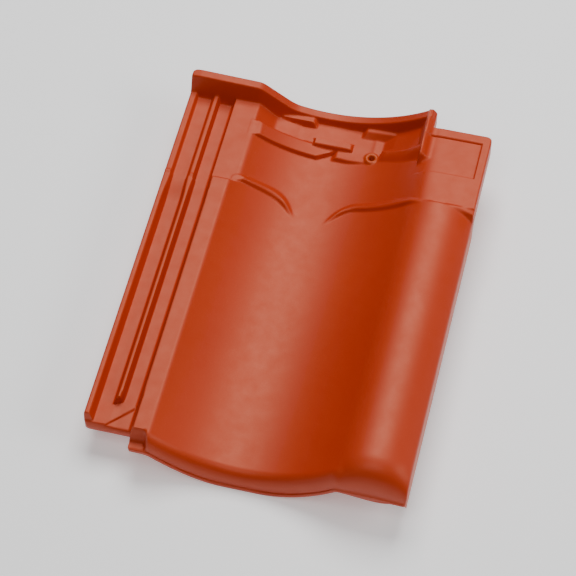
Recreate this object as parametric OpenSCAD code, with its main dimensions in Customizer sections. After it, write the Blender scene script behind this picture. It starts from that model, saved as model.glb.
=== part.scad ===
/* [Overall] */
// width across the tile, from the left lock edge to the right roll edge
tile_w = 264; // [240:1:300]
// length from the eave nose tip to the back of the head rim
tile_l = 362; // [330:1:420]
// clay thickness of pan, roll and flange
body_t = 11.5; // [10:0.5:13]

/* [Pan and roll] */
// height of the pan's upper face above the floor, at its lowest line
pan_z = 18.5; // [17:0.5:22]
// depth of the pan below the strip beside it
pan_depth = 25.6; // [22:0.2:29]
// height of the roll crest above the pan's lowest line
roll_rise = 43.5; // [38:0.5:48]
// radius of the roll's upper face
roll_r = 40; // [34:1:46]
// distance of the roll's crest line from the right edge
roll_edge = 28.7; // [24:0.1:32]

/* [Left lock] */
// width of the water lock along the left edge
lock_w = 40.5; // [38:0.5:44]
// width of the flat strip between lock and pan
strip_w = 15.5; // [12:0.5:18]
// depth of the lock channels below the strip
lock_drop = 13; // [10:0.5:15]
// distance from the nose tip to the eave edge of the lock
lock_y = 15; // [13:0.5:20]
// height of the two lock ribs above the channel floor
rib_h = 8.5; // [6:0.5:10]
// width of a lock rib at its crest
rib_w = 1.8; // [1.5:0.1:3]
// spread of a rib's sloping side at the channel floor
rib_foot = 2.9; // [2:0.1:4]
// distance of the inner rib's axis from the left edge
rib_x = 23.5; // [20:0.5:26]
// distance from the nose tip to the eave end of the inner rib
rib_y = 33; // [28:1:60]

/* [Eave nose] */
// length of the downturned nose, from its tip into the tile
nose_l = 13; // [11:0.5:16]
// radius of the rounded front of the nose
nose_r = 10; // [6:0.5:11]
// height of the straight lower edge of the roll's nose
roll_lip_z = 29; // [26:0.5:32]
// slope of the roll's closed end from the vertical
roll_end_tilt = 25; // [20:1:40]

/* [Head lap] */
// distance of the head lap's shoulder from the back of the rim
lap_l = 96; // [85:1:110]
// drop of the strip beside the pan, at the shoulder
lap_drop = 4.8; // [3:0.2:6]
// rise of the outer channel's floor in the head lap
lap_lift = 3.5; // [2:0.5:5]
// drop of the right flange below the roll crest, at the shoulder
flange_drop = 2; // [1:0.5:4]
// fall of the flange toward the head, in degrees
flange_fall = 2.5; // [0:0.5:4]
// distance from the back of the rim to the back edge of the flange
flange_back = 15; // [12:1:25]
// size of the recessed panel across the flange
panel_w = 40; // [30:1:44]
// length of the recessed panel along the flange
panel_l = 40; // [25:1:44]
// depth of the recessed panel
panel_d = 1.5; // [1:0.5:3]

/* [Head rim] */
// length of the rim at its top face, along the tile
rim_l = 7.5; // [6:0.5:10]
// height of the rim above the strip and the pan
rim_h = 10; // [8:0.5:12]
// distance of the cross ribs' eave face from the back of the rim
cross_y = 46; // [42:1:54]
// length of the cross ribs along the tile
cross_l = 12; // [8:1:14]
// height of the cross ribs above the pan
cross_h = 5; // [3:0.5:7]
// height of the shelf above the pan's lowest line
shelf_h = 3.5; // [2:0.5:5]
// height of the deflector ridges above the pan
ridge_h = 3; // [2:0.5:4]

/* [Nail hole] */
// diameter of the nail hole
nail_d = 5.2; // [4.5:0.1:7]
// wall of the raised collar round the nail hole
nail_collar = 2.8; // [2:0.1:4]
// distance of the nail hole from the pan's lowest line
nail_x = 37; // [30:1:42]
// distance of the nail hole from the back of the rim
nail_y = 38; // [30:1:42]

/* [Hooking nibs] */
// width of each nib
nib_w = 22; // [16:1:30]
// length of each nib along the tile
nib_l = 14; // [10:1:18]
// distance of each nib's centre from the pan's lowest line
nib_x = 38; // [34:1:44]
// distance of the nibs' hooking face from the back of the rim
nib_y = 30; // [24:1:40]

/* [Hidden] */
$fn = 96;
big = 400;
strip_x = lock_w + strip_w;
roll_x = tile_w - roll_edge;
// the roll's arc sinks a little into the pan's arc, so the two cross at a slight angle
blend = 0.3;
// width from the strip to the pan's lowest line, and on to the roll's crest line, for a pan radius r
function pan_half(r) = sqrt(2 * pan_depth * r - pow(pan_depth, 2));
function span(r) = pan_half(r) + sqrt(pow(r + roll_r - blend, 2) - pow(r + roll_r - roll_rise, 2));
// radius between lo and hi at which the span fits the tile's width, found in n halvings
function fit_r(lo, hi, n) = let (mid = (lo + hi) / 2)
    n == 0 ? mid : span(mid) < roll_x - strip_x ? fit_r(mid, hi, n - 1) : fit_r(lo, mid, n - 1);
pan_r = fit_r(pan_depth, big, 40);
pan_x = strip_x + pan_half(pan_r);
pan_cz = pan_z + pan_r;
strip_z = pan_z + pan_depth;
lap_z = strip_z - lap_drop;
floor_z = strip_z - lock_drop;
crest_z = pan_z + roll_rise;
roll_cz = crest_z - roll_r;
turn = acos((pan_r + roll_r - roll_rise) / (pan_r + roll_r - blend));
edge_turn = asin((strip_x - pan_x) / -pan_r);
turn_x = pan_x + pan_r * sin(turn);
hollow_r = roll_r - body_t - 2 * blend;
hollow_drop = 12;
nose_ring = pan_r + pan_z;
knob_top = floor_z - 0.6;
knob_z = knob_top - 4.4;
lock_t = body_t - 2;
shoulder_y = tile_l - lap_l;
rim_y = tile_l - rim_l;
flange_x = turn_x - 0.5;
flange_l = lap_l - flange_back;
flange_z = crest_z - flange_drop;
back_z = flange_z - flange_l * tan(flange_fall);
nib_top = pan_z + 12;

// extrudes a section drawn in x and z along the tile, from y0 to y1
module along(y0, y1) {
    translate([0, y1, 0]) rotate([90, 0, 0]) linear_extrude(y1 - y0) children();
}

module pan_disc(r) {
    translate([pan_x, pan_cz]) circle(r, $fn = 240);
}

// layer over the pan's face, between two heights above it and two x positions
module pan_layer(h0, h1, x0, x1) {
    intersection() {
        difference() {
            pan_disc(pan_r - h0);
            pan_disc(pan_r - h1);
        }
        translate([x0, 0]) square([x1 - x0, crest_z]);
    }
}

// half profile of pan and nose: distance from the pan's axis, and length along the tile
module pan_profile() {
    difference() {
        translate([pan_r, 0]) square([pan_z, tile_l - 1]);
        translate([pan_r + body_t, nose_l - 4]) square([pan_z, tile_l]);
        translate([pan_r - 1, -1]) square([nose_r + 1, nose_r + 1]);
    }
    intersection() {
        translate([pan_r + nose_r, nose_r]) circle(nose_r);
        translate([pan_r, 0]) square([nose_r + 1, nose_r + 1]);
    }
}

// pan with its downturned nose, turned about the pan's axis
module pan() {
    translate([pan_x, 0, pan_cz]) rotate([-90, 0, 0]) rotate([0, 0, 90 - turn])
        rotate_extrude(angle = turn + edge_turn + 8, $fn = 240) pan_profile();
}

// slab under the lock and the strip, left higher than the strip for trimming
module lock_slab() {
    along(lock_y - 3, tile_l - 2) polygon([[0, floor_z - lock_t], [strip_x + 11, floor_z - lock_t],
        [strip_x - 6, strip_z + 4], [0, strip_z + 4]]);
    along(1, lock_y) translate([lock_w, knob_z]) square([strip_w + 6, 9]);
}

// space above the strip, above the channels, in front of the lock and above the knob
module left_cut() {
    translate([-5, -5, strip_z]) cube([pan_x - 25, tile_l + 10, big]);
    translate([-5, shoulder_y - 2, lap_z]) cube([pan_x - 25, big, big]);
    along(-5, tile_l + 5) polygon([[-5, floor_z], [lock_w - 1, floor_z],
        [lock_w + 2, strip_z + 1], [-5, strip_z + 1]]);
    translate([-5, -5, -5]) cube([lock_w + 5, lock_y + 5, big]);
    translate([lock_w - 1, -1, knob_top]) cube([strip_w - 1, lock_y - 2, big]);
}

// outer rib along the left edge and inner rib between the two channels
module lock_ribs() {
    top = floor_z + rib_h;
    along(lock_y + 3, rim_y + 1) polygon([[0, floor_z - 1], [0, top - 0.8], [0.8, top],
        [0.8 + rib_w, top], [0.8 + rib_w + rib_foot, floor_z - 1]]);
    along(rib_y, rim_y + 1) polygon([[rib_x - rib_w / 2 - rib_foot, floor_z - 1],
        [rib_x - rib_w / 2, top], [rib_x + rib_w / 2, top],
        [rib_x + rib_w / 2 + rib_foot, floor_z - 1]]);
}

// raised channel floor in the head lap, with a ramp up to it
module lap_floor(x0, x1, lift) {
    translate([x0, 0, 0]) rotate([90, 0, 90]) linear_extrude(x1 - x0)
        polygon([[shoulder_y - 28, floor_z - 1], [shoulder_y - 28, floor_z],
            [shoulder_y - 4, floor_z + lift], [rim_y + 1, floor_z + lift],
            [rim_y + 1, floor_z - 1]]);
}

// roll, filled down to its lip height; its hollow is taken out afterwards
module roll_blank() {
    along(0, tile_l - 1.5) intersection() {
        translate([roll_x, roll_cz]) circle(roll_r);
        translate([0, roll_lip_z]) square([tile_w, crest_z]);
    }
}

module hollow_section() {
    difference() {
        union() {
            translate([roll_x, roll_cz]) circle(hollow_r);
            translate([roll_x, -5]) square([big, crest_z - hollow_drop - body_t + 5]);
            translate([roll_x, roll_cz]) polygon([[0, 0],
                [-big * sin(turn + 9), big * cos(turn + 9)], [-big, -big], [0, -big]]);
        }
        pan_disc(pan_r + body_t / 2);
    }
}

// hollow under the roll and flange, behind the sloping wall of the roll's end
module roll_hollow() {
    intersection() {
        along(-5, tile_l + 5) hollow_section();
        end_slab(body_t - 2, big);
    }
}

// slab parallel to the roll's sloping end, from depth d0 to depth d1 behind it
module end_slab(d0, d1) {
    translate([turn_x - 12, 1, roll_lip_z]) rotate([-roll_end_tilt, 0, 0])
        translate([0, d0, -big / 2]) cube([big, d1 - d0, big]);
}

// sloping flange plate on the right of the head lap, left higher for trimming
module flange_plate() {
    translate([flange_x, shoulder_y, flange_z]) rotate([-flange_fall, 0, 0])
        translate([0, -1, -body_t]) cube([tile_w - flange_x, flange_l + 1, body_t + 2]);
}

module right_cut() {
    end_slab(-big, 0);
    difference() {
        translate([flange_x, shoulder_y, flange_z]) rotate([-flange_fall, 0, 0])
            cube([big, big, big]);
        translate([0, rim_y - 60, 0]) cube([flange_x + 5, 100, crest_z]);
    }
    translate([flange_x + 5, tile_l - flange_back, -5]) cube([big, big, big]);
    translate([tile_w - 7 - panel_w, shoulder_y, flange_z]) rotate([-flange_fall, 0, 0])
        translate([0, flange_l - 6 - panel_l, -panel_d]) cube([panel_w, panel_l, big]);
}

// raised rim across the head
module rim_section(low = 0) {
    z1 = strip_z + rim_h - 1 - low;
    z2 = pan_z + rim_h - low;
    polygon([[2, floor_z - 6], [2, z1], [strip_x + 3, z1], [pan_x - 35, z2], [pan_x + 5, z2],
        [pan_x + 23, z2 + 3.5], [pan_x + 40, z2 + 9.3], [pan_x + 53, z2 + 14.8],
        [pan_x + 66, z2 + 22], [flange_x - 3, crest_z - 1 - low], [flange_x + 3, crest_z - 1 - low],
        [flange_x + 3, crest_z - 20], [pan_x + 50, z2 - 4], [pan_x + 20, z2 - 14],
        [pan_x, pan_z - body_t + 2], [pan_x - 38, pan_z - 3], [strip_x, floor_z - 6]]);
}

module rim() {
    along(rim_y, tile_l) rim_section();
    along(rim_y - 2, rim_y + 1) rim_section(2);
    along(tile_l - cross_y + 2, rim_y + 2) polygon([[flange_x - 2, crest_z - 22],
        [flange_x - 2, crest_z], [flange_x + 2, crest_z], [flange_x + 9, back_z - 3],
        [flange_x + 9, back_z - 8]]);
}

// cross ribs, shelf and stop blocks inside the head recess
module recess() {
    cross_end = tile_l - cross_y + cross_l;
    along(tile_l - cross_y, cross_end) {
        intersection() {
            pan_layer(-1, cross_h, strip_x - 3, pan_x - 12);
            square([tile_w, lap_z - 0.4]);
        }
        pan_layer(-1, cross_h, pan_x + 48, flange_x);
    }
    along(tile_l - cross_y + 2, rim_y + 1) intersection() {
        translate([pan_x - 34, pan_z - 2]) square([80, shelf_h + 2]);
        pan_disc(pan_r + 2);
    }
    for (b = [[pan_x - 24, 18, 8.5], [pan_x + 24, 18, 11]])
        translate([b[0], rim_y - 16, pan_z]) cube([b[1], 18, b[2]]);
    translate([pan_x - 3, cross_end - 4, pan_z]) cube([28, 7, shelf_h + 3]);
}

// curved ridges that lead water to the middle of the pan
module ridges() {
    intersection() {
        along(shoulder_y - 14, shoulder_y + 12)
            pan_layer(-1, ridge_h, strip_x + 4, flange_x - 3);
        translate([0, 0, 1]) linear_extrude(big) {
            ridge_plan(pan_x - 47, 1);
            ridge_plan(pan_x + 47, -1);
        }
    }
}

module ridge_plan(cx, side) {
    difference() {
        translate([cx, shoulder_y - 23.5]) circle(32);
        translate([cx - side * 1.5, shoulder_y - 27.5]) circle(32.5);
        translate([side > 0 ? cx + 31 : cx - 40, 0]) square([9, big]);
    }
}

module nail_boss() {
    translate([pan_x + nail_x, tile_l - nail_y, pan_z])
        cylinder(h = 9, d = nail_d + 2 * nail_collar);
}

// hooking nibs under the head, feet level with the bottom of the nose
module nibs() {
    for (s = [-1, 1]) difference() {
        translate([pan_x + s * nib_x - nib_w / 2, tile_l - nib_y, 0])
            cube([nib_w, nib_l, nib_top]);
        along(tile_l - nib_y - 1, tile_l - nib_y + nib_l + 1) pan_disc(pan_r + body_t - 2);
    }
}

module roof_tile() {
    color([0.62, 0.24, 0.13]) translate([-tile_w / 2, -tile_l / 2, 0]) difference() {
        union() {
            difference() {
                union() {
                    pan();
                    lock_slab();
                    roll_blank();
                    flange_plate();
                }
                roll_hollow();
                left_cut();
                right_cut();
            }
            lock_ribs();
            lap_floor(1, rib_x, lap_lift);
            lap_floor(rib_x, lock_w + 2, lap_lift / 3);
            rim();
            recess();
            ridges();
            nail_boss();
            nibs();
        }
        translate([pan_x + nail_x, tile_l - nail_y, -1]) cylinder(h = 60, d = nail_d);
    }
}

roof_tile();
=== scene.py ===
import math

import bpy
import numpy as np
from mathutils import Matrix, Vector


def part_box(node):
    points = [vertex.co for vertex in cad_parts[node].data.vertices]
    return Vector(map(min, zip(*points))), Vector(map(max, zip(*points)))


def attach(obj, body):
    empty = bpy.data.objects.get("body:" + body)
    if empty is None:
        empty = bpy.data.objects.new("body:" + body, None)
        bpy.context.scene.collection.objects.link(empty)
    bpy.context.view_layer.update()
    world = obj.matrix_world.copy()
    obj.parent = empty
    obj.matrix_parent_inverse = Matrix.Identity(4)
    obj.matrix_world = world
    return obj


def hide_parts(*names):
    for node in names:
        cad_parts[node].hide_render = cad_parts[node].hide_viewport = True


NODE = "roof_tile"
SLOT = "fired_clay"
MM = 0.001

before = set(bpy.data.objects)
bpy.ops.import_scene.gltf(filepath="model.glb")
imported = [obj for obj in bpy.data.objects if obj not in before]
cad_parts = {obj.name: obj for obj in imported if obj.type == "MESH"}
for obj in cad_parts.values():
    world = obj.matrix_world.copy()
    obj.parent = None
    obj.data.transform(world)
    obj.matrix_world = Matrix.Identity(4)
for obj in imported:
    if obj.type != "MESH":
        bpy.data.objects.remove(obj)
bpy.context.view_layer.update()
LO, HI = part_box(NODE)
ORIGIN = Vector((LO.x, LO.y, LO.z))
W = (HI.x - LO.x) / MM
L = (HI.y - LO.y) / MM

# Lengths are in millimetres up to the mesh: x from the lock's edge, y from the nose, z from the floor.
# ---------------------------------------------------------------- sizes
PAN_Z, PAN_X = 18.5, 128.2
ROLL_RISE, ROLL_R, ROLL_X = 43.5, 40.0, W - 28.7
BODY_T = 11.5
CREST_Z = PAN_Z + ROLL_RISE
ROLL_CZ = CREST_Z - ROLL_R
# the pan's radius that makes its arc run into the roll's without a crease
PAN_R = ((ROLL_X - PAN_X) ** 2 + (PAN_Z - ROLL_CZ) ** 2 - ROLL_R ** 2) / (2.0 * (ROLL_R - PAN_Z + ROLL_CZ))
PAN_CZ = PAN_Z + PAN_R
ARCS = math.hypot(ROLL_X - PAN_X, PAN_CZ - ROLL_CZ)
TURN_X = PAN_X + PAN_R * (ROLL_X - PAN_X) / ARCS
STRIP_Z, LAP_Z = 44.1, 39.3
LOCK_Y, KNOB_X = 15.0, 40.3
BACK_X, BACK_Y = 213.6, 346.0
NAIL_X, NAIL_Y, NAIL_R = PAN_X + 37.0, 324.0, 2.6
LOCK_BASE = 21.6
EDGE_BASE = 38.0
# floors of the lock's outer and inner channel, the same in the head lap, and the top of the ribs
OUTER_FLOOR, INNER_FLOOR = 31.5, 31.0
OUTER_LAP_FLOOR, INNER_LAP_FLOOR = 35.0, 32.4
RIB_TOP = 39.5
# flange: height at its shoulder, place of the shoulder, fall toward the head in degrees
FLANGE_Z, FLANGE_Y, FLANGE_FALL = 60.0, 268.0, 2.2
PANEL_DEPTH, PANEL_RIGHT, PANEL_Y0, PANEL_Y1 = 1.7, 257.4, 298.4, 337.6
RIM_Y, WALL_TOP, RIM_SLOPE = 354.6, 60.6, 2.6
BAR_TOP, BLOCK_TOP, RECESS_Z = 26.2, 27.8, 22.0
COLLAR_TOP, COLLAR_R = 26.4, 5.2
NIB_X, NIB_HALF, NIB_Y0, NIB_Y1 = 38.0, 11.0, 332.0, 346.0
TOP_FILLET, BASE_FILLET, LEAST_CLAY = 1.3, 0.8, 2.0


def step(a, b, v):
    t = np.clip((v - a) / (b - a), 0.0, 1.0)
    return t * t * (3.0 - 2.0 * t)


def smax(a, b, k):
    h = np.clip(0.5 + 0.5 * (a - b) / k, 0.0, 1.0)
    return b * (1.0 - h) + a * h + k * h * (1.0 - h)


def smin(a, b, k):
    return -smax(-a, -b, k)


def mix(a, b, t):
    return a * (1.0 - t) + b * t


def over(v, start):
    """How far v lies past start, or 0 before it."""
    return np.maximum(v - start, 0.0)


def pan_arc(x, r):
    return PAN_CZ - np.sqrt(np.maximum(r * r - (x - PAN_X) ** 2, 1.0))


def roll_arc(x, r):
    return ROLL_CZ + np.sqrt(np.maximum(r * r - (x - ROLL_X) ** 2, 0.0))


def wave(x):
    """Height of the weather face across the tile, without lock and strip."""
    return np.where(x < TURN_X, pan_arc(x, PAN_R), roll_arc(x, ROLL_R))


def nose_line(x):
    """Underline of the eave, from the knob past the pan to the roll's lip."""
    pan = 0.016 * over(116.0, x) ** 1.8 + 0.0072 * over(x, 143.5) ** 2
    slant = 30.4 - 0.15 * (x - 212.0)
    lip = smax(slant, 26.8 + 1.8 * step(245.5, 249.5, x) + 0.05 * over(x, 249.5), 0.6)
    return np.where(x < PAN_X, smin(pan, 25.8, 3.0), smin(pan, lip, 2.0))


def rim_line(x):
    """Top of the head rim: level by the strip, down a slope, then a bowl over the pan."""
    strip = 55.3 - 0.035 * over(x, 8.0) - 0.07 * over(8.0, x)
    slope = 50.0 - 0.745 * (x - 66.0)
    low, radius = 28.6, 138.0
    bowl = low + radius - np.sqrt(np.maximum(radius ** 2 - (x - 121.5) ** 2, 0.0))
    high = smin(bowl, WALL_TOP, 1.5)
    return np.where(x < PAN_X, smin(strip, smax(slope, bowl, 3.0), 2.5), high)


def flange_plane(y):
    return FLANGE_Z - (y - FLANGE_Y) * math.tan(math.radians(FLANGE_FALL))


def lock_face(x, y):
    """Two channels and two ribs, up to the wall of the strip."""
    lap = step(236.0, 262.0, y)
    outer_floor = mix(OUTER_FLOOR, OUTER_LAP_FLOOR, lap)
    inner_floor = mix(INNER_FLOOR, INNER_LAP_FLOOR, lap)
    floor = mix(outer_floor, inner_floor, step(20.0, 26.5, x))
    jog = step(260.6, 262.6, y)
    crest = RIB_TOP + 0.5 * jog
    outer = smin(crest, floor + (7.4 - 0.3 * jog - x) * 2.6, 1.6)
    outer = smin(outer, floor + (y - 17.0 - 0.15 * x) * 4.0, 1.2)
    inner = smin(floor + (x - 18.9 - 0.5 * jog) * 2.5, floor + (26.7 - 0.3 * jog - x) * 4.6, 0.8)
    inner = smin(smin(crest, inner, 1.2), floor + (y - 38.5 - 0.6 * (x - 23.5)) * 6.0, 0.8)
    z = smax(floor, smax(outer, inner, 0.3), 0.8)
    return smax(z, floor + (x - 37.7) * 2.85, 0.8)


def lock_outlet(x, y, z):
    """Triangular run-out of the channels beside the strip, and the sloping front."""
    line = (y - 18.4) - (x - 19.4) * 1.04
    z = z - 1.4 * step(0.45, -0.45, line) * step(15.0, 19.0, x)
    front = 27.4 + (y - LOCK_Y) * (2.6 - 1.3 * step(3.0, 34.0, x))
    return np.where(x < KNOB_X, smin(z, front, 1.4), z)


def strip_height(y):
    return mix(STRIP_Z, LAP_Z, step(262.6, 264.6, y))


def weather_face(x, y):
    """Upper face before the head's features and the nose."""
    z = wave(x)
    on_roll = x > ROLL_X
    # a narrow lip along the right edge, and a level pocket between it and the shoulder
    lip = smax(z, 49.4 - (x - 262.6) * 0.1, 1.0)
    roll = np.where(x > 255.0, lip, z)
    flat = smin(np.where(on_roll, CREST_Z - 0.018 * over(x, ROLL_X) ** 1.6, z), CREST_Z, 2.0)
    pocket = step(260.0, 263.6, y + 0.22 * (x - 262.0))
    main = np.where(on_roll, mix(roll, flat, pocket), z)
    # flange of the head lap, behind the shoulder
    lap = smin(np.where(on_roll, CREST_Z, z), flange_plane(y), 3.0)
    shoulder = step(267.0, 268.4, y)
    z = np.where(x > TURN_X - 30.0, mix(main, lap, shoulder), z)
    z = np.where(x < PAN_X, smin(z, strip_height(y), 1.6), z)
    lock = lock_outlet(x, y, lock_face(x, y))
    return np.where(x < 48.0, smin(lock, z, 0.8), z)


def ridge(y, front, back):
    """Section of a raised weir between a front line and a back line in plan."""
    t = (y - front) / np.maximum(back - front, 0.8)
    return step(-0.04, 0.3, t) * (1.0 - step(0.45, 1.06, t))


def left_ridge(x, y):
    front = 266.8 - 0.00027 * over(x, 74.0) ** 3 - 0.006 * over(74.0, x) ** 2
    back = 275.8 - 0.00075 * over(x, 83.0) ** 3 - 0.007 * over(83.0, x) ** 2
    return 3.2 * ridge(y, front, back) * step(56.0, 62.0, x) * step(114.5, 102.0, x)


def right_ridge(x, y):
    front = 267.2 - 0.027 * over(165.0, x) ** 2 - 0.035 * over(x, 165.0)
    back = 276.0 - 0.032 * over(165.0, x) ** 2 - 0.3 * over(x, 198.0)
    return 3.0 * ridge(y, front, back) * step(139.0, 152.0, x) * step(222.0, 204.0, x)


def deflector_ridges(x, y, z):
    left = z + left_ridge(x, y)
    z = np.where(x < 80.0, np.minimum(left, np.maximum(z, LAP_Z + 0.25)), left)
    return z + right_ridge(x, y)


def left_cross_rib(x, y, z):
    run = y - 316.4
    up = z + np.minimum(run * 2.4, 4.0)
    top = np.minimum(up, z + 4.0 - 0.04 * run)
    end = smin(top, z + (116.0 + run * 1.55 - x) * 2.2 + 4.0, 1.2)
    rib = np.where((run > -1.0) & (y < 331.5) & (x > 58.0), end, z - 5.0)
    back = mix(rib, z + 2.0, step(329.5, 332.0, y))
    rib = np.where(y > 328.0, np.minimum(rib, back), rib)
    rib = np.minimum(rib, strip_height(y) - 0.15)
    zone = (y > 315.0) & (y < 333.0) & (x > 57.0) & (x < PAN_X + 12.0)
    return np.where(zone, smax(z, rib, 0.7), z)


def right_cross_rib(x, y, z):
    """Rib that slopes up from its foot line to its brow line."""
    foot = 321.0 - (x - 171.0) * 0.18
    brow = 326.3 - (x - 173.7) * 0.10
    rise = 4.2 + 2.8 * step(190.0, 207.0, x)
    run = y - foot
    up = z + rise * run / (brow - foot)
    up = smin(up, z + rise, 2.6)
    up = smin(up, z + (x - 171.0 - 0.3 * run) * 1.6, 1.2)
    up = smin(up, z + rise - (y - brow - 2.4) * 1.6, 1.2)
    zone = (run > -1.0) & (y < brow + 8.0) & (x > 169.0) & (x < 212.0)
    return np.where(zone, smax(z, np.minimum(up, flange_plane(y) - 0.5), 0.7), z)


def recess_facet(x, y, z):
    """Steeper facet at the left end of the recess."""
    facet = smax(LAP_Z - (x - 61.5) * 0.86, 26.0 - (x - 78.0) * 0.16, 1.2)
    zone = (y > 331.0) & (x > 58.0) & (x < 104.0)
    return np.where(zone, mix(z, np.minimum(z, facet), step(331.0, 333.5, y)), z)


def recess_slope(x, y):
    """Slope up to the rim at the right of the recess."""
    return 22.8 + (y - 343.0 + 0.1 * (x - 156.0)) * (0.86 + 0.014 * (x - 156.0))


def recess_shelf(x, y, z):
    """Shelf with a lip toward the eave, and the level ground cut in on its right."""
    shelf = 22.4 + 0.07 * over(x, 138.0)
    shelf = smin(shelf, shelf + (y - 319.4 - 1.0 * step(146.0, 135.0, x)) * 1.7, 0.9)
    shelf = smin(shelf, 18.4 + (x - 131.0) * 1.2 + 70.0 * step(328.0, 331.0, y), 1.0)
    wall = 24.8 + over(x, 172.4) * 0.76
    level = np.minimum(z, smax(smax(shelf, wall, 0.6), recess_slope(x, y), 0.6))
    front = 318.6 + 2.4 * step(160.0, 169.0, x) + 12.0 * step(170.0, 173.0, x)
    lowered = (y > front) & (y < 353.0) & (x > 148.0) & (x < 184.0)
    z = np.where(lowered, level, z)
    zone = (y > 312.0) & (y < 356.0) & (x > 84.0) & (x < 172.6)
    return np.where(zone, smax(z, shelf, 0.8), z)


def centre_bar(x, y, z):
    bar = smin(BAR_TOP, 20.0 + np.minimum(y - 326.2, 337.4 - y) * 2.2, 0.8)
    bar = smin(bar, 20.0 + np.minimum(x - 111.6, 148.4 - x) * 2.6, 0.8)
    zone = (y > 325.0) & (y < 339.0) & (x > 108.0) & (x < 152.0)
    return np.where(zone, smax(z, bar, 0.5), z)


def stop_blocks(x, y, z):
    """Two blocks against the rim, left and right of the centre."""
    left = smin(BLOCK_TOP, 22.2 + (y - 346.4) * 2.2, 0.8)
    left = smin(left, RECESS_Z + (112.6 - x) * 1.7, 1.0)
    left = smin(left, RECESS_Z + (x - 77.4 - (352.0 - y) * 0.9) * 3.0, 1.0)
    z = np.where((y > 342.0) & (x > 74.0) & (x < 116.0), smax(z, left, 0.6), z)
    right = smin(28.2 + 0.14 * (x - 156.0), recess_slope(x, y), 0.5)
    right = smin(right, RECESS_Z + (x - 151.6) * 1.6, 1.0)
    right = smin(right, 28.0 + (184.0 - x) * 2.2, 1.2)
    return np.where((y > 340.0) & (x > 148.0) & (x < 188.0), smax(z, right, 0.5), z)


def head_rim(x, y, z):
    top = rim_line(x)
    face = top + (y - RIM_Y) * RIM_SLOPE
    rim = smin(top, face, 1.4)
    rim = smin(rim, top + (209.6 - x) * 1.7, 1.0)
    return np.where((y > 346.0) & (x < 216.0), smax(z, rim, 1.4), z)


def recess_wall(x, y, z):
    """Wall down the right side of the recess, leaning a little toward the eave."""
    crest = WALL_TOP - 0.02 * (y - 317.0)
    lean = x - (359.0 - y) * 0.022
    steepness = mix(9.0, 3.2, step(316.0, 326.0, y))
    wall = smin(crest, crest + (lean - 206.8) * steepness, 0.8)
    wall = smin(wall, crest + (208.6 - lean) * 0.75, 0.8)
    wall = smin(wall, crest + (y - 314.4) * 1.7 - over(lean, 208.0) * 0.5, 3.0)
    zone = (y > 300.0) & (x > 196.0) & (x < 222.0)
    return np.where(zone, smax(z, wall, mix(0.5, 3.6, step(208.0, 211.0, x))), z)


def flange_panel(x, y, z):
    inward = np.minimum(np.minimum(PANEL_RIGHT - x, y - PANEL_Y0), PANEL_Y1 - y)
    depth = PANEL_DEPTH * step(0.0, 1.0, inward) * step(203.0, 217.0, x)
    return z - np.where(x > 198.0, depth, 0.0)


def eave_nose(x, y, z):
    """Rounded front of the pan and of the roll, each down to its lower edge."""
    edge = nose_line(x) + 4.6
    s = np.clip((y - 1.2) / 10.0, 0.0, 1.0)
    pan = edge + (z - edge) * np.sqrt(np.maximum(1.0 - (1.0 - s) ** 2, 0.0))
    lip = 34.2 - 1.8 * step(236.0, 262.0, x)
    s = np.clip((y - 0.8) / 24.0, 0.0, 1.0)
    roll = lip + (z - lip) * (1.0 - (1.0 - s) ** 2.4) ** (1.0 / 2.3)
    roll = smax(roll, np.minimum(lip, z), 0.5)
    nose = mix(pan, roll, step(203.0, 213.0, x))
    return np.where(y < 40.0, np.minimum(z, nose), z)


def strip_end(x, y, z):
    """End of the strip above the knob."""
    end = smax(30.6, STRIP_Z + (y - 12.6) * 2.5, 4.0)
    fade = step(51.6, 55.2, x - 0.3 * (8.0 - y))
    return np.where((x > 38.0) & (x < 60.0) & (y < 20.0), mix(np.minimum(z, end), z, fade), z)


def nail_collar(x, y, z):
    r = np.hypot(x - NAIL_X, y - NAIL_Y)
    collar = smin(COLLAR_TOP - over(3.4, r) * 1.3, COLLAR_TOP + (COLLAR_R - r) * 2.0, 0.5)
    return np.where(r < 9.0, smax(z, collar, 0.5), z)


TOP_FEATURES = (deflector_ridges, left_cross_rib, right_cross_rib, recess_facet, recess_shelf, centre_bar,
                stop_blocks, head_rim, recess_wall, flange_panel, nail_collar, eave_nose, strip_end)


def top_face(x, y):
    z = weather_face(x, y)
    for feature in TOP_FEATURES:
        z = feature(x, y, z)
    return z


def under_nose(x, y, z):
    """Underside at the eave: the nose and the closed end of the roll."""
    line = nose_line(x)
    nose = smin(z, line + (y - 7.5) * np.where(x < 205.0, 3.2, 1.75), 2.0)
    nose = np.maximum(nose, np.minimum(z, line))
    nose = np.where((line > z) & (x < 70.0), mix(line, z, step(9.0, 14.0, y)), nose)
    return np.where((y < 45.0) & (x > 38.5), nose, z)


def hooking_nibs(x, y, z):
    for nib_x in (PAN_X - NIB_X, PAN_X + NIB_X):
        inward = np.minimum(NIB_HALF - np.abs(x - nib_x), np.minimum(y - NIB_Y0, NIB_Y1 - y))
        nib = np.maximum((0.6 - inward) * 9.0, 0.0)
        z = np.where(inward > -2.0, np.minimum(z, nib), z)
    return z


def bottom_face(x, y):
    pan = pan_arc(x, PAN_R + BODY_T)
    roll = ROLL_CZ + np.sqrt(np.maximum((ROLL_R - BODY_T) ** 2 - (x - ROLL_X) ** 2, 0.0))
    turn = PAN_X + (PAN_R + BODY_T) * (ROLL_X - PAN_X) / ARCS
    z = np.where(x < turn, pan, roll)
    z = np.where(x < PAN_X, smin(z, LOCK_BASE, 2.0), z)
    wide = smin(np.where(x > ROLL_X, 50.0, z), flange_plane(y) - BODY_T, 2.0)
    z = mix(z, np.where(x > turn, wide, z), step(262.0, 272.0, y))
    rib = EDGE_BASE + over(256.5, x) * 2.4
    z = np.where(x > 245.0, smin(z, rib, 1.0), z)
    return hooking_nibs(x, y, under_nose(x, y, z))


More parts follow.
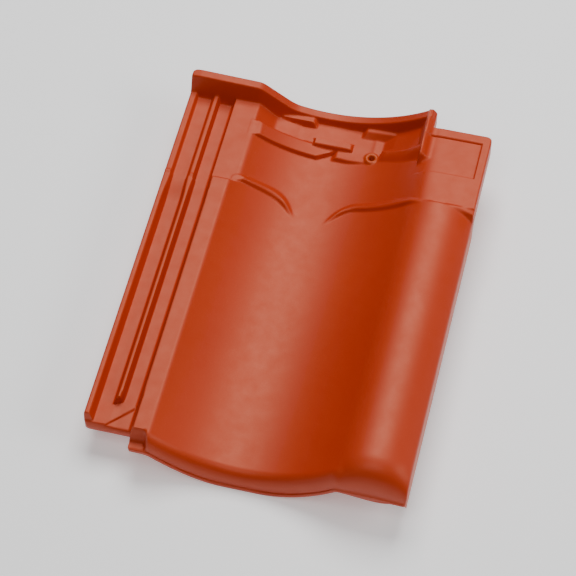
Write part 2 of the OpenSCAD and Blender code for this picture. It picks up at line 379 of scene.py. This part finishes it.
# ---------------------------------------------------------------- grid
def spread(stops):
    """Grid lines between stops (position, spacing up to the next stop)."""
    out = []
    for (a, h), (b, _) in zip(stops[:-1], stops[1:]):
        n = max(1, int(round((b - a) / h)))
        out += list(np.linspace(a, b, n, endpoint=False))
    out.append(stops[-1][0])
    return np.array(out)


def corner(d, r):
    """How far an edge pulls back within r of a rounded corner."""
    d = np.clip(d, 0.0, r)
    return r - np.sqrt(np.maximum(r * r - (r - d) ** 2, 0.0))


def eave_line(x):
    return np.where(x < KNOB_X, LOCK_Y + corner(x, 4.0), corner(x - KNOB_X, 2.2) + corner(W - x, 2.5))


def head_line(x):
    return np.where(x < BACK_X, L - corner(x, 4.5) - corner(BACK_X - x, 1.5), BACK_Y - corner(W - x, 4.5))


xs = spread([(0.0, 0.35), (1.4, 0.7), (28.0, 1.0), (38.0, 0.55), (44.0, 1.1), (54.0, 0.7), (60.0, 1.25),
             (112.0, 1.25), (130.0, 1.25), (150.0, 1.1), (204.0, 0.6), (220.0, 1.3), (255.0, 0.8),
             (261.5, 0.42), (W, 1.0)])
# the outline steps at these two places, so two grid lines stand close together there
STEP_GAP = 0.06
for edge_x in (KNOB_X, BACK_X):
    k = int(np.argmin(np.abs(xs - edge_x)))
    xs[k] = edge_x - STEP_GAP
    xs = np.insert(xs, k + 1, edge_x + STEP_GAP)
ys = spread([(0.0, 0.3), (1.5, 0.75), (12.0, 1.0), (40.0, 4.0), (50.0, 12.0), (228.0, 3.0), (246.0, 0.9),
             (280.0, 1.6), (296.0, 0.8), (300.0, 1.2), (309.0, 0.6), (317.0, 0.75), (350.0, 0.6),
             (357.0, 1.0), (360.0, 0.35), (L, 1.0)])
# rows nearer the eave than NEAR_Y, or nearer the head than FAR_Y, bend to follow the outline
NEAR_Y, FAR_Y = 30.0, 340.0
X, Yg = np.meshgrid(xs, ys)
y0, y1 = eave_line(X), head_line(X)
Y = np.where(Yg < NEAR_Y, y0 + (NEAR_Y - y0) * Yg / NEAR_Y, Yg)
Y = np.where(Yg > FAR_Y, FAR_Y + (y1 - FAR_Y) * (Yg - FAR_Y) / (L - FAR_Y), Y)

Z = top_face(X, Y)
ZB = bottom_face(X, Y)


def edge_fillet(x, y, r):
    """Drop of the face within r of the outline."""
    d = np.minimum(np.minimum(x, W - x), np.minimum(y - eave_line(x), head_line(x) - y))
    return corner(d, r)


Z = Z - edge_fillet(X, Y, TOP_FILLET)
ZB = np.minimum(ZB + edge_fillet(X, Y, BASE_FILLET), Z - LEAST_CLAY)

# the underside keeps every third grid line
STRIDE = 3
rows, cols = X.shape
keep_r = sorted(set(list(range(0, rows, STRIDE)) + [rows - 1]))
keep_c = sorted(set(list(range(0, cols, STRIDE)) + [cols - 1]))
for edge_x in (KNOB_X, BACK_X):
    k = int(np.argmin(np.abs(xs - (edge_x - STEP_GAP))))
    keep_c = sorted(set(keep_c + [k, k + 1]))

verts = np.column_stack([X.ravel(), Y.ravel(), Z.ravel()])
faces = []
idx = np.arange(rows * cols).reshape(rows, cols)
for i in range(rows - 1):
    for j in range(cols - 1):
        faces.append((idx[i, j], idx[i, j + 1], idx[i + 1, j + 1], idx[i + 1, j]))
bottom_id = {}
low = []
for i in keep_r:
    for j in keep_c:
        bottom_id[(i, j)] = len(verts) + len(low)
        low.append((X[i, j], Y[i, j], ZB[i, j]))
# a second rim just under the first keeps the painted edge highlight narrow on the side walls
UNDER_RIM = 0.9
rim_id = {}
for i in range(rows):
    for j in (range(cols) if i in (0, rows - 1) else (0, cols - 1)):
        rim_id[i, j] = len(verts) + len(low)
        low.append((X[i, j], Y[i, j], Z[i, j] - UNDER_RIM))
verts = np.vstack([verts, np.array(low)])
for a, b in zip(keep_r[:-1], keep_r[1:]):
    for c, d in zip(keep_c[:-1], keep_c[1:]):
        faces.append((bottom_id[a, c], bottom_id[b, c], bottom_id[b, d], bottom_id[a, d]))


def skirt(fine, kept):
    """Side wall between the fine rim of the top and the sparser rim of the bottom."""
    for (p, q) in zip(kept[:-1], kept[1:]):
        run = fine[fine.index(p):fine.index(q) + 1]
        upper = [idx[r, c] for r, c in run]
        ring = [rim_id[r, c] for r, c in run]
        for a, b, under_a, under_b in zip(upper[:-1], upper[1:], ring[:-1], ring[1:]):
            faces.append((b, a, under_a, under_b))
        lo_p, lo_q = bottom_id[p], bottom_id[q]
        half = len(ring) // 2
        for a, b in zip(ring[:half], ring[1:half + 1]):
            faces.append((b, a, lo_p))
        faces.append((ring[half], lo_p, lo_q))
        for a, b in zip(ring[half:-1], ring[half + 1:]):
            faces.append((b, a, lo_q))


south = [(0, c) for c in range(cols)]
east = [(r, cols - 1) for r in range(rows)]
north = [(rows - 1, c) for c in range(cols - 1, -1, -1)]
west = [(r, 0) for r in range(rows - 1, -1, -1)]
skirt(south, [(0, c) for c in keep_c])
skirt(east, [(r, cols - 1) for r in keep_r])
skirt(north, [(rows - 1, c) for c in reversed(keep_c)])
skirt(west, [(r, 0) for r in reversed(keep_r)])

verts = verts * MM + np.array([ORIGIN.x, ORIGIN.y, ORIGIN.z])
mesh = bpy.data.meshes.new("tile_body")
mesh.from_pydata([tuple(v) for v in verts], [], faces)
mesh.validate()
mesh.update()
tile = bpy.data.objects.new("tile_body", mesh)
bpy.context.scene.collection.objects.link(tile)

# nail hole, cut right through
bpy.ops.mesh.primitive_cylinder_add(vertices=48, radius=NAIL_R * MM, depth=60 * MM,
                                    location=ORIGIN + Vector((NAIL_X, NAIL_Y, 20.0)) * MM)
drill = bpy.context.object
cut = tile.modifiers.new("nail_hole", "BOOLEAN")
cut.operation = "DIFFERENCE"
cut.object = drill
cut.solver = "EXACT"
dg = bpy.context.evaluated_depsgraph_get()
drilled = bpy.data.meshes.new_from_object(tile.evaluated_get(dg))
tile.modifiers.clear()
tile.data = drilled
bpy.data.objects.remove(drill)
nail_axis = ORIGIN + Vector((NAIL_X, NAIL_Y, 0.0)) * MM
for p in tile.data.polygons:
    in_hole = (p.center - nail_axis).xy.length < 2.0 * NAIL_R * MM
    p.use_smooth = in_hole or abs(p.normal.z) > 0.001
tile.data.set_sharp_from_angle(angle=math.radians(50.0))

# ---------------------------------------------------------------- material
CLAY = (0.46, 0.028, 0.003)
CLAY_DEEP = (0.40, 0.021, 0.002)
# pale clay for random flecks, and for the painted highlight on convex edges
CLAY_FLECK_AND_HIGHLIGHT = (0.60, 0.11, 0.03)
CLAY_BARE = (0.55, 0.10, 0.01)


def make(nt, kind, **values):
    n = nt.nodes.new(kind)
    for key, value in values.items():
        if key in n.inputs:
            n.inputs[key].default_value = value
        else:
            setattr(n, key, value)
    return n


def ramp(nt, source, stops):
    n = nt.nodes.new("ShaderNodeValToRGB")
    n.color_ramp.elements[0].position, n.color_ramp.elements[0].color = stops[0]
    n.color_ramp.elements[1].position, n.color_ramp.elements[1].color = stops[1]
    nt.links.new(source, n.inputs["Fac"])
    return n.outputs["Color"]


def blend_colour(nt, factor, a, b):
    n = nt.nodes.new("ShaderNodeMix")
    n.data_type = "RGBA"
    for socket, value in ((n.inputs[0], factor), (n.inputs[6], a), (n.inputs[7], b)):
        if isinstance(value, bpy.types.NodeSocket):
            nt.links.new(value, socket)
        else:
            socket.default_value = value
    return n.outputs[2]


def grey(v):
    return (v, v, v, 1.0)


def fired_clay():
    """Satin engobe, with a painted highlight on convex edges, and paler round the nail hole."""
    mat = bpy.data.materials.new(SLOT)
    mat.use_nodes = True
    nt = mat.node_tree
    bsdf = nt.nodes["Principled BSDF"]
    place = make(nt, "ShaderNodeTexCoord").outputs["Object"]

    def noise(scale, detail, rough):
        n = make(nt, "ShaderNodeTexNoise", Scale=scale, Detail=detail, Roughness=rough)
        nt.links.new(place, n.inputs["Vector"])
        return n.outputs["Fac"]

    cloud = ramp(nt, noise(13.0, 3.0, 0.5), ((0.30, grey(0.0)), (0.72, grey(0.4))))
    colour = blend_colour(nt, cloud, (*CLAY, 1.0), (*CLAY_DEEP, 1.0))
    speck = ramp(nt, noise(1500.0, 2.0, 0.6), ((0.62, grey(0.0)), (0.78, grey(0.4))))
    colour = blend_colour(nt, speck, colour, (*CLAY_FLECK_AND_HIGHLIGHT, 1.0))
    # convex edges, found by pointiness, get the pale clay: a painted highlight along the edges
    point = make(nt, "ShaderNodeNewGeometry").outputs["Pointiness"]
    edge_highlight = ramp(nt, point, ((0.53, grey(0.0)), (0.60, grey(0.45))))
    colour = blend_colour(nt, edge_highlight, colour, (*CLAY_FLECK_AND_HIGHLIGHT, 1.0))
    reach = make(nt, "ShaderNodeVectorMath", operation="DISTANCE")
    nt.links.new(place, reach.inputs[0])
    reach.inputs[1].default_value = ORIGIN + Vector((NAIL_X, NAIL_Y, 24.0)) * MM
    bare = ramp(nt, reach.outputs["Value"], ((0.0035, grey(0.4)), (0.0065, grey(0.0))))
    colour = blend_colour(nt, bare, colour, (*CLAY_BARE, 1.0))
    nt.links.new(colour, bsdf.inputs["Base Color"])
    rough = ramp(nt, noise(90.0, 4.0, 0.6), ((0.3, grey(0.45)), (0.7, grey(0.52))))
    nt.links.new(rough, bsdf.inputs["Roughness"])
    fine = make(nt, "ShaderNodeBump", Strength=0.12, Distance=0.0004)
    nt.links.new(noise(900.0, 3.0, 0.55), fine.inputs["Height"])
    broad = make(nt, "ShaderNodeBump", Strength=0.05, Distance=0.0012)
    nt.links.new(noise(55.0, 2.0, 0.5), broad.inputs["Height"])
    nt.links.new(fine.outputs["Normal"], broad.inputs["Normal"])
    nt.links.new(broad.outputs["Normal"], bsdf.inputs["Normal"])
    bsdf.inputs["Specular IOR Level"].default_value = 0.85
    bsdf.inputs["Specular Tint"].default_value = (1.0, 0.52, 0.34, 1.0)
    return mat


tile.data.materials.clear()
tile.data.materials.append(fired_clay())

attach(tile, "root")
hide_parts(NODE)

# ---------------------------------------------------------------- stage
floor_mat = bpy.data.materials.new("floor")
floor_mat.use_nodes = True
floor_shader = floor_mat.node_tree.nodes["Principled BSDF"]
floor_shader.inputs["Base Color"].default_value = (0.94, 0.94, 0.94, 1)
floor_shader.inputs["Roughness"].default_value = 0.95
floor_shader.inputs["Emission Color"].default_value = (1, 1, 1, 1)
floor_shader.inputs["Emission Strength"].default_value = 0.3
bpy.ops.mesh.primitive_plane_add(size=8.0, location=(0, 0, LO.z))
floor = bpy.context.object
floor.name = "floor"
floor.data.materials.append(floor_mat)

world = bpy.data.worlds.new("world")
bpy.context.scene.world = world
world.use_nodes = True
world.node_tree.nodes["Background"].inputs["Color"].default_value = (1, 1, 1, 1)
world.node_tree.nodes["Background"].inputs["Strength"].default_value = 0.05


LIGHT_DISTANCE = 2.2


def area_light(name, direction, size, power):
    data = bpy.data.lights.new(name, "AREA")
    data.shape = "RECTANGLE"
    data.size, data.size_y = size
    data.energy = power
    ob = bpy.data.objects.new(name, data)
    d = Vector(direction).normalized()
    ob.location = d * LIGHT_DISTANCE
    ob.rotation_euler = (-d).to_track_quat("-Z", "Y").to_euler()
    bpy.context.scene.collection.objects.link(ob)


area_light("back_softbox", (-0.05, 1.0, 1.8), (1.35, 1.2), 44.0)
area_light("top_softbox", (-0.05, -0.42, 0.92), (0.9, 1.0), 12.0)
area_light("right_softbox", (0.90, 0.0, 0.62), (0.9, 0.8), 14.0)

# ---------------------------------------------------------------- camera
AIM = Vector((-0.00426, -0.00465, 0.030))
AZIMUTH, ELEVATION, ROLL = 14.215, 56.575, -0.75
DISTANCE, LENS = 1.96665, 150.0

cam_data = bpy.data.cameras.new("camera")
cam_data.lens = LENS
cam_data.sensor_width = 36.0
cam_data.clip_end = 20.0
camera = bpy.data.objects.new("camera", cam_data)
az, el = math.radians(AZIMUTH), math.radians(ELEVATION)
forward = Vector((-math.sin(az) * math.cos(el), math.cos(az) * math.cos(el), -math.sin(el)))
level = forward.cross(Vector((0, 0, 1))).normalized()
rise = level.cross(forward)
roll = math.radians(ROLL)
right = level * math.cos(roll) + rise * math.sin(roll)
up = rise * math.cos(roll) - level * math.sin(roll)
turn = Matrix((right, up, -forward)).transposed().to_4x4()
camera.matrix_world = Matrix.Translation(AIM - forward * DISTANCE) @ turn
bpy.context.scene.collection.objects.link(camera)
bpy.context.scene.camera = camera
